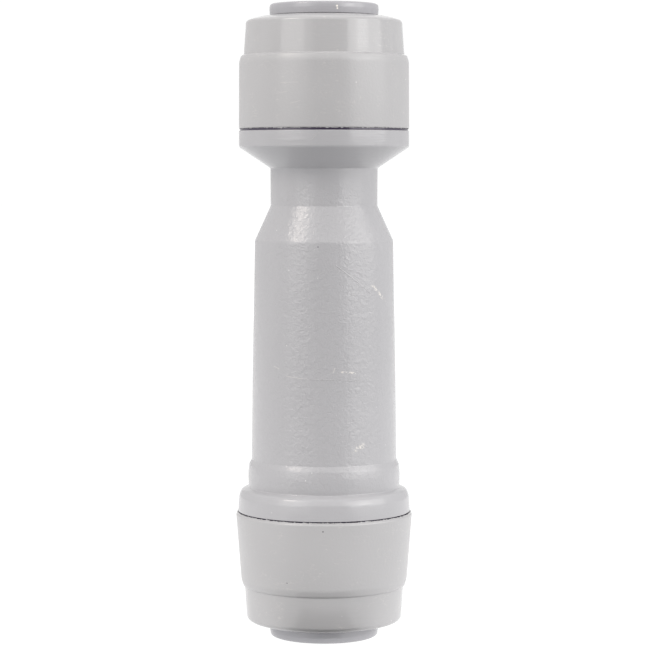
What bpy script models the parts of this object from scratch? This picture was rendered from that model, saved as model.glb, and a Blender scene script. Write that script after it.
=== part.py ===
"""Inline push-fit check valve for 9.5 mm (3/8 in) tube, modelled as the pieces it is assembled from.

The valve stands on its outlet with its axis on Z. The origin is the centre of the outlet collet's face,
+Z points to the inlet, and water flows along -Z. Every length in this file is in millimetres; build_mesh
turns them into Blender's metres.

A turned piece is a closed outline of corners (radius, height) or (radius, height, fillet), spun about Z.
Everything at a port is drawn in the port's own frame: the height is the depth below the collet's face.
"""

import math

import bmesh
import bpy
from mathutils import Matrix, Vector

MM = 0.001

# Driving dimensions.
LENGTH = 82.0          # from collet face to collet face
TUBE_R = 9.525 / 2     # the tube that both ports take
GAP = 0.3              # between pieces that touch face to face
RUNNING_GAP = 0.2      # between pieces that fit inside each other
SLACK = 0.1            # between a tooth or a seal and its groove

# Turned detail.
STEPS_LARGE = 36       # facets round a housing, cap or collet
STEPS_SMALL = 24       # facets round a small inner piece
CHAMFER_BELOW = 0.45   # a smaller fillet is only a chamfer

# Push-fit port, as depths and radii.
COLLET_FLANGE_R = 7.05
COLLET_FLANGE_DEPTH = 1.3
COLLET_BORE_R = TUBE_R + 0.19
COLLET_SLEEVE_R = 5.95
COLLET_HEAD_R = 7.0
COLLET_END = 10.6
COLLET_TRAVEL = 1.8
FINGERS = 6
FINGER_SLOT = 1.0
SLOT_START = 3.2
TOOTH_DEPTH = 9.2
TOOTH_THICK = 0.35
TOOTH_TIP_R = TUBE_R + 0.04
TOOTH_ROOT_R = 5.75
TOOTH_SPAN = math.radians(38)

CAP_FACE = COLLET_FLANGE_DEPTH + 0.25
CAP_HOLE_R = COLLET_SLEEVE_R + 0.25
CAP_NOSE_R = 10.02
CAP_STEP = 6.6
CAP_RIM = 16.05
CAP_SKIRT_BORE_R = 9.25
CAP_LEDGE = 10.6
CAP_CHAMBER_R = COLLET_HEAD_R + GAP
INLET_CAP_SHOULDER_R = 10.87
INLET_CAP_RIM_R = 11.0
OUTLET_CAP_SHOULDER_R = 10.68
OUTLET_CAP_RIM_R = 11.5

SPIGOT_R = 9.0
SPIGOT_END = 12.2
FLANGE_FACE = CAP_RIM + GAP
RETAINER_START = CAP_LEDGE + GAP
RETAINER_THICK = 1.0
RETAINER_R = 8.95
SEAL_SECTION = 2.1
SEAL_INNER_R = TUBE_R + 0.09
SPACER_THICK = 1.2
SEAL_BORE_R = SEAL_INNER_R + SEAL_SECTION + RUNNING_GAP
SEAL_BORE_END = 18.2
TUBE_GUIDE_R = TUBE_R + 0.19
TUBE_STOP = 20.6

# Valve body, as heights.
FLANGE_R = 11.0
FLANGE_BOTTOM = 63.6
NECK_R = 6.92
NECK_TOP = 60.9
NECK_BOTTOM = 56.06
BARREL_TOP_R = 8.92
BARREL_TOP = 51.6
BARREL_FOOT_R = 9.38
BEAD_TOP = 23.1
BEAD_R = 9.82
BODY_BOTTOM = 19.85
INLET_BORE_R = 3.8
CHAMBER_R = 7.3
CHAMBER_TOP = 50.2

# Outlet body.
OUTLET_FLANGE_R = 11.1
OUTLET_FLANGE_TOP = BODY_BOTTOM - GAP
PLUG_R = CHAMBER_R - 0.25
PLUG_TOP = 26.5
OUTLET_BORE_R = 3.9
FUNNEL_R = 5.6

# Check cartridge.
CARTRIDGE_R = CHAMBER_R - RUNNING_GAP
SEAT_TOP = CHAMBER_TOP - GAP
SEAT_BOTTOM = 43.8
SEAT_HOLE_R = 3.7
SEAT_CONE_TOP = 46.6
SEAT_CONE_DEPTH = 1.5
SEAT_GROOVE_R = 5.75
SEAT_GROOVE_BOTTOM = 46.5
SEAT_GROOVE_TOP = 48.2
CARTRIDGE_SEAL_SECTION = 1.3
CAGE_TOP = SEAT_BOTTOM - GAP
CAGE_BOTTOM = PLUG_TOP + GAP
CAGE_BORE_R = 5.6
CAGE_FLOOR = 2.0
HUB_R = 2.0
HUB_RISE = 1.0
WINDOWS = 4
WINDOW_INNER_R = 3.0
WINDOW_OUTER_R = 5.5
WINDOW_SPAN = math.radians(66)

# Poppet and spring.
POPPET_TOP = 47.3
POPPET_LIP_R = 3.4
POPPET_NECK_R = 3.1
POPPET_GROOVE_TOP = 46.0
POPPET_GROOVE_BOTTOM = 44.4
POPPET_DISC_R = 4.7
POPPET_DISC_BOTTOM = 43.7
POPPET_SEAL_SECTION = 1.3
POPPET_SEAL_R = 3.95
STEM_R = 1.2
STEM_BOTTOM = 27.0
SPRING_R = 2.5
SPRING_WIRE = 0.6
SPRING_ACTIVE_TURNS = 5.5
SPRING_END_PITCH = 0.75
SPRING_STEPS = 12      # straight pieces in one turn


# Outlines.

def filleted(corners):
    """The outline with an arc in place of each corner that has a fillet."""
    outline = []
    for i, corner in enumerate(corners):
        point = Vector(corner[:2])
        radius = corner[2] if len(corner) > 2 else 0.0
        if radius == 0.0:
            outline.append(point)
            continue
        steps = 1 if radius < CHAMFER_BELOW else 3
        before = (Vector(corners[i - 1][:2]) - point).normalized()
        after = (Vector(corners[(i + 1) % len(corners)][:2]) - point).normalized()
        half = before.angle(after) / 2
        centre = point + (before + after).normalized() * radius / math.sin(half)
        start = point + before * radius / math.tan(half) - centre
        turn = start.angle_signed(point + after * radius / math.tan(half) - centre)
        for k in range(steps + 1):
            outline.append(centre + Matrix.Rotation(-turn * k / steps, 2) @ start)
    return outline


def ring_section(centre_r, centre_z, section, sides=8):
    """The round section of an O-ring."""
    angles = [2 * math.pi * k / sides for k in range(sides)]
    return [(centre_r + section / 2 * math.cos(a), centre_z + section / 2 * math.sin(a)) for a in angles]


def box_section(inner_r, outer_r, bottom, top, edge=0.0):
    """A rectangular ring section with its two outer edges rounded."""
    return [(inner_r, bottom), (outer_r, bottom, edge), (outer_r, top, edge), (inner_r, top)]


# Meshes and objects.

def material(name, colour, roughness, metallic=0.0):
    made = bpy.data.materials.new(name)
    made.use_nodes = True
    made.diffuse_color = (*colour, 1.0)
    shader = made.node_tree.nodes["Principled BSDF"]
    shader.inputs["Base Color"].default_value = (*colour, 1.0)
    shader.inputs["Roughness"].default_value = roughness
    shader.inputs["Metallic"].default_value = metallic
    return made


def build_mesh(name, shape, finish):
    """Closes the bmesh, turns millimetres into metres and shades its round faces smooth."""
    bmesh.ops.remove_doubles(shape, verts=shape.verts, dist=1e-4)
    bmesh.ops.recalc_face_normals(shape, faces=shape.faces)
    bmesh.ops.scale(shape, vec=(MM, MM, MM), verts=shape.verts)
    mesh = bpy.data.meshes.new(name)
    shape.to_mesh(mesh)
    shape.free()
    mesh.materials.append(finish)
    mesh.shade_smooth()
    mesh.set_sharp_from_angle(angle=math.radians(35))
    return mesh


def turned(name, corners, finish, steps=STEPS_LARGE):
    """The outline spun all the way round Z."""
    shape = bmesh.new()
    points = [shape.verts.new((r, 0.0, z)) for r, z in filleted(corners)]
    edges = [shape.edges.new((points[i - 1], points[i])) for i in range(len(points))]
    bmesh.ops.spin(
        shape, geom=points + edges, axis=(0, 0, 1), cent=(0, 0, 0), angle=2 * math.pi, steps=steps
    )
    lone = [edge for edge in shape.edges if not edge.link_faces]
    bmesh.ops.delete(shape, geom=lone, context="EDGES")
    return build_mesh(name, shape, finish)


def sector(name, corners, finish, span, middle=0.0, steps=4):
    """The outline spun through part of a turn, centred on the angle middle."""
    shape = bmesh.new()
    face = shape.faces.new([shape.verts.new((r, 0.0, z)) for r, z in filleted(corners)])
    bmesh.ops.rotate(
        shape, verts=face.verts, cent=(0, 0, 0), matrix=Matrix.Rotation(middle - span / 2, 3, "Z")
    )
    bmesh.ops.spin(
        shape, geom=[face, *face.edges, *face.verts], axis=(0, 0, 1), cent=(0, 0, 0), angle=span, steps=steps
    )
    return build_mesh(name, shape, finish)


def place(name, mesh, parent):
    made = bpy.data.objects.new(name, mesh)
    bpy.context.scene.collection.objects.link(made)
    made.parent = parent
    return made


def empty(name, height=0.0, flipped=False, parent=None):
    made = bpy.data.objects.new(name, None)
    bpy.context.scene.collection.objects.link(made)
    made.location.z = height * MM
    made.rotation_euler.x = math.pi if flipped else 0.0
    made.parent = parent
    return made


def cut(target, mesh):
    """Takes the mesh, as a hidden cutter, out of the target."""
    cutter = place(mesh.name, mesh, target.parent)
    cutter.hide_render = True
    cutter.display_type = "WIRE"
    boolean = target.modifiers.new(mesh.name, "BOOLEAN")
    boolean.operation = "DIFFERENCE"
    boolean.solver = "EXACT"
    boolean.object = cutter


# Push-fit port pieces.

def collet_mesh(finish):
    """The flanged sleeve whose finger heads hold the teeth in a groove."""
    groove_half = TOOTH_THICK / 2 + SLACK
    return turned(
        "collet",
        [
            (COLLET_BORE_R + 0.4, 0.0),
            (COLLET_FLANGE_R, 0.0, 0.45),
            (COLLET_FLANGE_R, COLLET_FLANGE_DEPTH, 0.2),
            (COLLET_SLEEVE_R, COLLET_FLANGE_DEPTH),
            (COLLET_SLEEVE_R, 7.6),
            (COLLET_HEAD_R, 9.0),
            (COLLET_HEAD_R, 9.9),
            (6.2, COLLET_END),
            (COLLET_BORE_R + 0.25, COLLET_END),
            (COLLET_BORE_R, COLLET_END - 0.25),
            (COLLET_BORE_R, TOOTH_DEPTH + groove_half),
            (TOOTH_ROOT_R + SLACK, TOOTH_DEPTH + groove_half),
            (TOOTH_ROOT_R + SLACK, TOOTH_DEPTH - groove_half),
            (COLLET_BORE_R, TOOTH_DEPTH - groove_half),
            (COLLET_BORE_R, 0.4),
        ],
        finish,
    )


def finger_slot_mesh(index, finish):
    """One cutter runs right across the collet, so it makes two opposite slots."""
    shape = bmesh.new()
    bmesh.ops.create_cube(shape, size=1.0)
    reach = 2 * COLLET_HEAD_R + 2
    depth = COLLET_END + 1 - SLOT_START
    bmesh.ops.scale(shape, vec=(reach, FINGER_SLOT, depth), verts=shape.verts)
    bmesh.ops.translate(shape, vec=(0, 0, SLOT_START + depth / 2), verts=shape.verts)
    turn = Matrix.Rotation(math.pi * (2 * index + 1) / FINGERS, 3, "Z")
    bmesh.ops.rotate(shape, verts=shape.verts, cent=(0, 0, 0), matrix=turn)
    return build_mesh(f"finger_slot_{index}", shape, finish)


def tooth_mesh(index, finish):
    """A steel blade with a sharp inner edge, one to a finger."""
    half = TOOTH_THICK / 2
    blade = [
        (TOOTH_TIP_R, TOOTH_DEPTH),
        (TOOTH_TIP_R + 0.3, TOOTH_DEPTH - half),
        (TOOTH_ROOT_R, TOOTH_DEPTH - half),
        (TOOTH_ROOT_R, TOOTH_DEPTH + half),
        (TOOTH_TIP_R + 0.3, TOOTH_DEPTH + half),
    ]
    return sector(f"tooth_{index + 1}", blade, finish, TOOTH_SPAN, 2 * math.pi * index / FINGERS)


def cap_mesh(name, shoulder_r, rim_r, finish):
    """The stepped cap: its inner cone squeezes the collet's fingers when the tube is pulled."""
    cone_end = CAP_LEDGE - 3.35
    return turned(
        name,
        [
            (CAP_HOLE_R + 0.25, CAP_FACE),
            (7.6, CAP_FACE),
            (CAP_NOSE_R, CAP_FACE + 0.55, 0.6),
            (CAP_NOSE_R + 0.26, CAP_STEP),
            (shoulder_r, CAP_STEP, 0.5),
            (rim_r, CAP_RIM, 0.15),
            (CAP_SKIRT_BORE_R, CAP_RIM),
            (CAP_SKIRT_BORE_R, CAP_LEDGE),
            (CAP_CHAMBER_R, CAP_LEDGE),
            (CAP_CHAMBER_R, cone_end),
            (CAP_HOLE_R, cone_end - 1.5),
            (CAP_HOLE_R, CAP_FACE + 0.25),
        ],
        finish,
    )


def build_port(side, port, cap, shared):
    """One end of the valve, from the collet's face down to the inner seal."""
    place(f"{side}_cap", cap, port)
    collet_axis = empty(f"{side}_collet_axis", parent=port)
    collet = place(f"{side}_collet", shared["collet"], collet_axis)
    for slot in shared["slots"]:
        cut(collet, slot)
    for number, tooth in enumerate(shared["teeth"], 1):
        place(f"{side}_tooth_{number}", tooth, collet_axis)
    for piece in ("seal_retainer", "outer_seal", "seal_spacer", "inner_seal"):
        place(f"{side}_{piece}", shared[piece], port)


def port_meshes(finishes):
    """The meshes that both ports share. The seals and their spacers are stacked under the retainer."""
    slots = [finger_slot_mesh(k, finishes["collet"]) for k in range(FINGERS // 2)]
    meshes = {
        "collet": collet_mesh(finishes["collet"]),
        "slots": slots,
        "teeth": [tooth_mesh(k, finishes["steel"]) for k in range(FINGERS)],
    }
    retainer_end = RETAINER_START + RETAINER_THICK
    retainer = box_section(TUBE_GUIDE_R, RETAINER_R, RETAINER_START, retainer_end, 0.2)
    meshes["seal_retainer"] = turned("seal_retainer", retainer, finishes["insert"])
    seal_r = SEAL_INNER_R + SEAL_SECTION / 2
    depth = retainer_end + RUNNING_GAP
    for name in ("outer_seal", "inner_seal"):
        section = ring_section(seal_r, depth + SEAL_SECTION / 2, SEAL_SECTION)
        meshes[name] = turned(name, section, finishes["rubber"], STEPS_SMALL)
        depth += SEAL_SECTION + RUNNING_GAP
        if name == "outer_seal":
            spacer = box_section(TUBE_GUIDE_R, SEAL_BORE_R - RUNNING_GAP, depth, depth + SPACER_THICK, 0.15)
            meshes["seal_spacer"] = turned("seal_spacer", spacer, finishes["insert"], STEPS_SMALL)
            depth += SPACER_THICK + RUNNING_GAP
    return meshes


# Housing.

def valve_body_mesh(finish):
    """Inlet socket, cone, neck and barrel in one moulding, open at the barrel's foot."""
    return turned(
        "valve_body",
        [
            (SEAL_BORE_R + 0.4, LENGTH - SPIGOT_END),
            (SPIGOT_R, LENGTH - SPIGOT_END, 0.3),
            (SPIGOT_R, LENGTH - FLANGE_FACE),
            (FLANGE_R, LENGTH - FLANGE_FACE, 0.15),
            (FLANGE_R, FLANGE_BOTTOM, 0.3),
            (NECK_R, NECK_TOP, 0.3),
            (NECK_R, NECK_BOTTOM, 0.6),
            (BARREL_TOP_R, BARREL_TOP, 0.8),
            (BARREL_FOOT_R, BEAD_TOP, 0.4),
            (BEAD_R, BEAD_TOP - 1.2, 1.0),
            (BEAD_R - 0.1, BODY_BOTTOM, 0.3),
            (CHAMBER_R + 0.3, BODY_BOTTOM),
            (CHAMBER_R, BODY_BOTTOM + 0.4),
            (CHAMBER_R, CHAMBER_TOP, 0.4),
            (INLET_BORE_R, CHAMBER_TOP),
            (INLET_BORE_R, LENGTH - TUBE_STOP),
            (TUBE_GUIDE_R, LENGTH - TUBE_STOP),
            (TUBE_GUIDE_R, LENGTH - SEAL_BORE_END),
            (SEAL_BORE_R, LENGTH - SEAL_BORE_END),
            (SEAL_BORE_R, LENGTH - SPIGOT_END - 0.4),
        ],
        finish,
    )


def outlet_body_mesh(finish):
    """Outlet socket, with a plug that is welded into the barrel's foot and holds the cartridge up."""
    return turned(
        "outlet_body",
        [
            (SEAL_BORE_R + 0.4, SPIGOT_END),
            (SPIGOT_R, SPIGOT_END, 0.3),
            (SPIGOT_R, FLANGE_FACE),
            (OUTLET_FLANGE_R, FLANGE_FACE, 0.15),
            (OUTLET_FLANGE_R - 0.12, OUTLET_FLANGE_TOP, 1.35),
            (PLUG_R, OUTLET_FLANGE_TOP),
            (PLUG_R, PLUG_TOP, 0.4),
            (FUNNEL_R, PLUG_TOP),
            (OUTLET_BORE_R, PLUG_TOP - 2.5),
            (OUTLET_BORE_R, TUBE_STOP),
            (TUBE_GUIDE_R, TUBE_STOP),
            (TUBE_GUIDE_R, SEAL_BORE_END),
            (SEAL_BORE_R, SEAL_BORE_END),
            (SEAL_BORE_R, SPIGOT_END + 0.4),
        ],
        finish,
    )


# Check cartridge.

def seat_mesh(finish):
    """The ring that the poppet closes on, with a groove for the cartridge's own seal."""
    return turned(
        "cartridge_seat",
        [
            (SEAT_HOLE_R + 0.5, SEAT_TOP),
            (CARTRIDGE_R, SEAT_TOP, 0.3),
            (CARTRIDGE_R, SEAT_GROOVE_TOP),
            (SEAT_GROOVE_R, SEAT_GROOVE_TOP),
            (SEAT_GROOVE_R, SEAT_GROOVE_BOTTOM),
            (CARTRIDGE_R, SEAT_GROOVE_BOTTOM),
            (CARTRIDGE_R, SEAT_BOTTOM),
            (SEAT_HOLE_R + SEAT_CONE_DEPTH, SEAT_BOTTOM),
            (SEAT_HOLE_R + SEAT_CONE_DEPTH, SEAT_CONE_TOP - SEAT_CONE_DEPTH),
            (SEAT_HOLE_R, SEAT_CONE_TOP),
            (SEAT_HOLE_R, SEAT_TOP - 0.5),
        ],
        finish,
        STEPS_SMALL,
    )


def cage_mesh(finish):
    """A cup whose floor carries the spring and guides the poppet's stem."""
    floor = CAGE_BOTTOM + CAGE_FLOOR
    return turned(
        "cartridge_cage",
        [
            (STEM_R + GAP, CAGE_BOTTOM),
            (CARTRIDGE_R, CAGE_BOTTOM, 0.3),
            (CARTRIDGE_R, CAGE_TOP),
            (CAGE_BORE_R, CAGE_TOP),
            (CAGE_BORE_R, floor),
            (HUB_R, floor),
            (HUB_R, floor + HUB_RISE),
            (STEM_R + GAP, floor + HUB_RISE),
        ],
        finish,
        STEPS_SMALL,
    )


def window_mesh(index, finish):
    """Cutter for one of the openings in the cage's floor that the water leaves by."""
    section = box_section(WINDOW_INNER_R, WINDOW_OUTER_R, CAGE_BOTTOM - 1, CAGE_BOTTOM + CAGE_FLOOR + 1)
    return sector(f"cage_window_{index}", section, finish, WINDOW_SPAN, 2 * math.pi * (index + 0.5) / WINDOWS)


def poppet_mesh(finish):
    """A round nose, a groove for the poppet's seal, a disc and the guide stem."""
    return turned(
        "poppet",
        [
            (0.0, POPPET_TOP),
            (2.3, POPPET_TOP, 0.8),
            (POPPET_LIP_R, POPPET_GROOVE_TOP + 0.4, 0.2),
            (POPPET_LIP_R, POPPET_GROOVE_TOP),
            (POPPET_NECK_R, POPPET_GROOVE_TOP),
            (POPPET_NECK_R, POPPET_GROOVE_BOTTOM),
            (POPPET_DISC_R, POPPET_GROOVE_BOTTOM, 0.15),
            (POPPET_DISC_R, POPPET_DISC_BOTTOM, 0.15),
            (HUB_R, POPPET_DISC_BOTTOM),
            (HUB_R, POPPET_DISC_BOTTOM - HUB_RISE),
            (STEM_R, POPPET_DISC_BOTTOM - HUB_RISE - 0.3),
            (STEM_R, STEM_BOTTOM, 0.3),
            (0.0, STEM_BOTTOM),
        ],
        finish,
        STEPS_SMALL,
    )


def spring_points():
    """The wire's centreline: a closed turn at each end and open turns between, from the floor to the disc."""
    low = CAGE_BOTTOM + CAGE_FLOOR + SLACK + SPRING_WIRE / 2
    high = POPPET_DISC_BOTTOM - SLACK - SPRING_WIRE / 2
    turns = SPRING_ACTIVE_TURNS + 2
    open_pitch = (high - low - 2 * SPRING_END_PITCH) / SPRING_ACTIVE_TURNS
    points = []
    for k in range(round(turns * SPRING_STEPS) + 1):
        turn = k / SPRING_STEPS
        active = min(max(turn - 1, 0), SPRING_ACTIVE_TURNS)
        closed = turn - active
        angle = 2 * math.pi * turn
        height = low + active * open_pitch + closed * SPRING_END_PITCH
        points.append((SPRING_R * math.cos(angle), SPRING_R * math.sin(angle), height))
    return points


def spring_curve(finish):
    curve = bpy.data.curves.new("poppet_spring", "CURVE")
    curve.dimensions = "3D"
    curve.bevel_depth = SPRING_WIRE / 2 * MM
    curve.bevel_resolution = 1
    curve.use_fill_caps = True
    points = spring_points()
    wire = curve.splines.new("POLY")
    wire.points.add(len(points) - 1)
    for point, spot in zip(wire.points, points):
        point.co = (*(value * MM for value in spot), 1.0)
    curve.materials.append(finish)
    return curve


def build_cartridge(valve, finishes):
    place("cartridge_seat", seat_mesh(finishes["insert"]), valve)
    seal_r = SEAT_GROOVE_R + SLACK + CARTRIDGE_SEAL_SECTION / 2
    seal_z = (SEAT_GROOVE_BOTTOM + SEAT_GROOVE_TOP) / 2
    seal = ring_section(seal_r, seal_z, CARTRIDGE_SEAL_SECTION)
    place("cartridge_seal", turned("cartridge_seal", seal, finishes["rubber"], STEPS_SMALL), valve)
    cage = place("cartridge_cage", cage_mesh(finishes["insert"]), valve)
    for k in range(WINDOWS):
        cut(cage, window_mesh(k, finishes["insert"]))
    poppet_axis = empty("poppet_axis", parent=valve)
    place("poppet", poppet_mesh(finishes["poppet"]), poppet_axis)
    groove_middle = (POPPET_GROOVE_TOP + POPPET_GROOVE_BOTTOM) / 2
    seal = ring_section(POPPET_SEAL_R, groove_middle, POPPET_SEAL_SECTION)
    place("poppet_seal", turned("poppet_seal", seal, finishes["rubber"], STEPS_SMALL), poppet_axis)
    place("poppet_spring", spring_curve(finishes["steel"]), valve)


def main():
    for old in list(bpy.data.objects):
        bpy.data.objects.remove(old)
    finishes = {
        "body": material("body_plastic", (0.50, 0.495, 0.51), 0.42),
        "cap": material("cap_plastic", (0.56, 0.55, 0.54), 0.45),
        "collet": material("collet_plastic", (0.47, 0.465, 0.485), 0.40),
        "insert": material("insert_plastic", (0.78, 0.77, 0.74), 0.45),
        "poppet": material("poppet_plastic", (0.80, 0.80, 0.79), 0.40),
        "rubber": material("seal_rubber", (0.018, 0.018, 0.020), 0.55),
        "steel": material("spring_steel", (0.60, 0.60, 0.59), 0.28, 1.0),
    }
    valve = empty("check_valve")
    place("valve_body", valve_body_mesh(finishes["body"]), valve)
    place("outlet_body", outlet_body_mesh(finishes["body"]), valve)
    build_cartridge(valve, finishes)
    shared = port_meshes(finishes)
    inlet_cap = cap_mesh("inlet_cap", INLET_CAP_SHOULDER_R, INLET_CAP_RIM_R, finishes["cap"])
    outlet_cap = cap_mesh("outlet_cap", OUTLET_CAP_SHOULDER_R, OUTLET_CAP_RIM_R, finishes["cap"])
    build_port("inlet", empty("inlet_port", LENGTH, flipped=True, parent=valve), inlet_cap, shared)
    build_port("outlet", empty("outlet_port", parent=valve), outlet_cap, shared)


main()
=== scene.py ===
"""Looks of the push-fit check valve: a finer piece of plastic, rubber or steel stands for every CAD node,
under plain soft studio light.

The valve's lengths are in millimetres, and MM turns them into the frame's metres. The studio's are in
metres. Inner outlines are read from the CAD nodes. A place on the round surface is an angle in degrees, 0 at
the front and positive to the right, and a height.
"""

import math
import random

import bmesh
import bpy
from mathutils import Matrix, Vector


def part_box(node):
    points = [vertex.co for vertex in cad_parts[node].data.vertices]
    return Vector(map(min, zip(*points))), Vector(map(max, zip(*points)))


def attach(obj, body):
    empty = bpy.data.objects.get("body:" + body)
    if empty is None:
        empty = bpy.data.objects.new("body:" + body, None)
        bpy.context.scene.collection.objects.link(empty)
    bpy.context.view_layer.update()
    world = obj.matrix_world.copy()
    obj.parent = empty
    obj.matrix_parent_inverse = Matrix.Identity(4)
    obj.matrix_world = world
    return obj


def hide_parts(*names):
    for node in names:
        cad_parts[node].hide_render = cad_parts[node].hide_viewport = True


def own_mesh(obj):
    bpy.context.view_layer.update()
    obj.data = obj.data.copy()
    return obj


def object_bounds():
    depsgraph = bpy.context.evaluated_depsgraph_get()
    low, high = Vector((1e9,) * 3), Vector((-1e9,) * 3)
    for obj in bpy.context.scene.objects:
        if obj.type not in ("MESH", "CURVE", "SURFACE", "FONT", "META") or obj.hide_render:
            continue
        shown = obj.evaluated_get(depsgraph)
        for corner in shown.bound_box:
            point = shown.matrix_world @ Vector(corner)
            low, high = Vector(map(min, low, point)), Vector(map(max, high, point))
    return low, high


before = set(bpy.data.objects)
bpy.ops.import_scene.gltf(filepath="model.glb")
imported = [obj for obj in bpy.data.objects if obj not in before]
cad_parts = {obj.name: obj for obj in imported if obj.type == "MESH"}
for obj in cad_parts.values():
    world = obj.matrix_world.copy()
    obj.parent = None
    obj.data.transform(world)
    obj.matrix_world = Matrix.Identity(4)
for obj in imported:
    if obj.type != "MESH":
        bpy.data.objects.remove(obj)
cad_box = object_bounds()

MM = 0.001
FULL_TURN = 2 * math.pi
TINY = 1e-6
SIDES = ("inlet", "outlet")

# Turned detail.
SEGMENTS = 240         # round a housing or cap
SEGMENTS_COLLET = 192
SEGMENTS_SMALL = 128   # round a small inner piece
ARC_STEP = math.radians(9)
STRAIGHT = 0.01        # radians; a corner that turns less isn't rounded
SHALLOW = math.radians(40)
SHARP = math.radians(30)
EDGE_R = 0.08          # the least a moulded edge is rounded
EDGE_SHARE = 0.45      # the most of an edge that the fillet at one of its ends takes
MERGE_DISTANCE = 1e-5

# Port, as radii and as depths below the collet's face.
COLLET_FACE_R = 6.0
COLLET_FLANGE_R = 7.05
COLLET_FLANGE = 1.3    # the CAD flange's underside
COLLET_REST = 1.50     # the underside here, just above the cap
COLLET_SLEEVE_R = 5.95
COLLET_END = 10.6
CAP_FACE = 1.55
CAP_MOUTH_R = 6.45
CAP_STEP = 6.58
NOSE_R = 10.37
NOSE_FILLET = {"inlet": 0.55, "outlet": 1.1}
SHOULDER_R = {"inlet": 10.98, "outlet": 10.82}
RIM_FILLET = {"inlet": 0.10, "outlet": 0.35}
CAP_RIM = 16.05
CAP_BORE_R = 9.25
FLANGE_FACE = 16.35
SPIGOT_R = 9.0

# Cuts right across a collet, which part its fingers.
CUTS = 3
SLOT_START = 3.2
SLOT_WIDTH = 1.0
CUT_LENGTH = 17.0
CUT_RUN_OUT = 1.0      # past the fingers' ends

# Teeth: one in each finger, and there are twice as many fingers as cuts.
TEETH = 2 * CUTS
TOOTH_SPAN = math.radians(38)
TOOTH_SEGMENTS = 14

# Joint between a cap and its flange: a shallow groove, closed behind by a land on the flange.
JOINT_RIM = {"inlet": 15.94, "outlet": 16.20}
JOINT_GAP = {"inlet": 0.34, "outlet": 0.17}
JOINT_R = {"inlet": 11.0, "outlet": 11.48}
FLANGE_R = {"inlet": 11.0, "outlet": 11.2}
GROOVE_DEPTH = 0.15
LAND_GAP = 0.02

# Ragged flash in that joint: how high it stands, and how far in from the rim's edge it lies.
FLASH_LEAST = 0.01
FLASH_MOST = 0.20
FLASH_START = 0.03
FLASH_CARRY = 0.45     # how much of its height comes from the step before
FLASH_STEPS = 1100
FLASH_ROOT = 0.08      # how deep it goes into the rim
FLASH_INSET = {"inlet": 0.05, "outlet": 0.15}
FLASH_FOOT_WIDTH = 0.2
FLASH_TIP_OUTER = 0.02
FLASH_TIP_INNER = 0.10

# Weld between the barrel and the outlet body, as a height.
SEAM = 19.70
SEAM_GAP = 0.005
CHAMBER_MOUTH_R = 7.6
PLUG_R = 7.05

# Cartridge.
SEAL_STEPS = 28        # round a seal's section
WINDOWS = 4
WINDOW_INNER_R = 3.0
WINDOW_OUTER_R = 5.5
WINDOW_SPAN = math.radians(66)
WINDOW_SEGMENTS = 20
WINDOW_BELOW = 1.0     # how far the window's cutter reaches below the cage's floor
WINDOW_ABOVE = 3.0     # and above its underside
WIRE = 0.6
WIRE_ROUNDNESS = 4
WIRE_SHARP = math.radians(50)
SPRING_TURNS = 7.5
SPRING_STEPS = 40      # to a turn
CLOSED_TURNS = 2       # one at each end
CLOSED_PITCH = 0.75

# Camera.
LENS = 135.5
SENSOR_WIDTH = 36.0
CLIP_START = 0.01
CAMERA_DISTANCE = 314.8
CAMERA_HEIGHT = 61.7
CAMERA_PITCH = math.radians(3.784)
CAMERA_ASIDE = -0.2

# Studio.
STUDIO_R = 0.70
FLOOR_REACH = 3.0
FLOOR_DROP = 0.02 * MM
FLOOR_GLOW = 1.0
WORLD_GLOW = 1.02
CARD_GLOW = 0.45
CARD_LIFT = 0.0005     # of a card that lies on the floor
SOFTBOX_TINT = (1.0, 0.985, 0.97)
LAMP_TINT = (1.0, 0.91, 0.82)

# Soft lights: azimuth and elevation in degrees, size, radiance and tint.
SOFTBOXES = {
    "left_softbox": (-47, 29, (0.44, 0.72), 1.85, SOFTBOX_TINT),
    "left_lamp": (-56, 43, (0.20, 0.20), 6.5, LAMP_TINT),
    "right_lamp": (58, 22, (0.22, 0.14), 4.0, SOFTBOX_TINT),
    "right_softbox": (63, 20, (0.72, 0.50), 2.35, SOFTBOX_TINT),
}
# Cards that stand in the studio: azimuth and elevation in degrees, and size.
BLACK_CARDS = {"camera_flag": (9, 8, (0.66, 0.44))}
GREY_CARDS = {"left_flag": (-135, 12, (0.80, 0.50)), "right_flag": (140, 12, (0.60, 0.50))}
# Black cards that lie in front of the valve: how far away the near and far edges are, and half their widths.
FLOOR_CARDS = {
    "near_flag": (0.0096, 0.020, 0.007, 0.009),
    "table_flag": (0.058, 0.45, 0.060, 0.45),
}


# Outlines.

def section(node):
    """The node's outline, as radii and heights, where the CAD solid crosses the plane y = 0."""
    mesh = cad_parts[node].data
    spots = [
        (round(v.co.x / MM, 3), round(v.co.z / MM, 3)) if abs(v.co.y) < TINY and v.co.x > -TINY else None
        for v in mesh.vertices
    ]
    links = {}
    for edge in mesh.edges:
        a, b = (spots[k] for k in edge.vertices)
        if a and b and a != b:
            links.setdefault(a, set()).add(b)
            links.setdefault(b, set()).add(a)
    ends = [spot for spot in links if len(links[spot]) == 1]
    walk = [max(ends, key=lambda spot: spot[1]) if ends else max(links)]
    while True:
        onward = [spot for spot in sorted(links[walk[-1]]) if spot not in walk]
        if not onward:
            return [Vector(spot) for spot in walk]
        walk.append(onward[0])


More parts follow.
